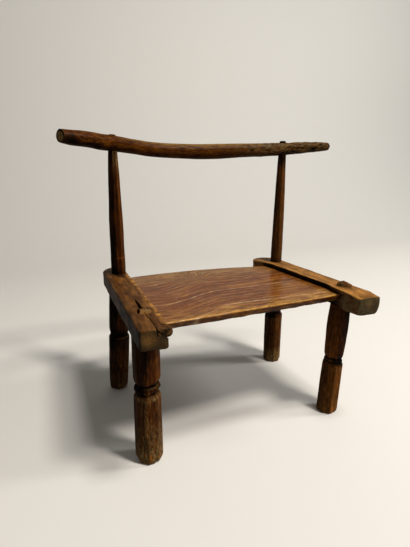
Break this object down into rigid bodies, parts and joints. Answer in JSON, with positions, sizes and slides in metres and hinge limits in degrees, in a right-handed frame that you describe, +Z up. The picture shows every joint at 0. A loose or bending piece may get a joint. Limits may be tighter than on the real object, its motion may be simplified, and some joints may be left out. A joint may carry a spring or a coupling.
{
  "type": "birthing chair",
  "caption": "Low hardwood birthing chair with four grooved legs, thick side rails, a housed seat board and a bowed crest rail on tapered posts.",
  "frame": {"origin": "on the floor, under the middle of the chair's outline seen from above", "axes": "+Z up, +Y from the open front to the back rest, +X to the right as seen from the front"},
  "size_m": [0.5974, 0.4, 0.5627],
  "materials": {
    "seat_wood": "old hardwood, rubbed smooth, soft sheen",
    "rail_wood": "old hardwood, hewn, worn on top",
    "leg_wood": "old dark hardwood, knife faceted, dull",
    "crest_wood": "old hardwood branch, handled, soft sheen",
    "wedge_wood": "old paler wood, rough"
  },
  "bodies": {
    "root": {"seat_board": "seat_wood", "left_rail": "rail_wood", "right_rail": "rail_wood", "front_left_leg": "leg_wood", "front_right_leg": "leg_wood", "rear_left_leg_post": "leg_wood", "rear_right_leg_post": "leg_wood", "crest_rail": "crest_wood", "front_left_wedge": "wedge_wood", "front_right_wedge": "wedge_wood"}
  },
  "joints": []
}
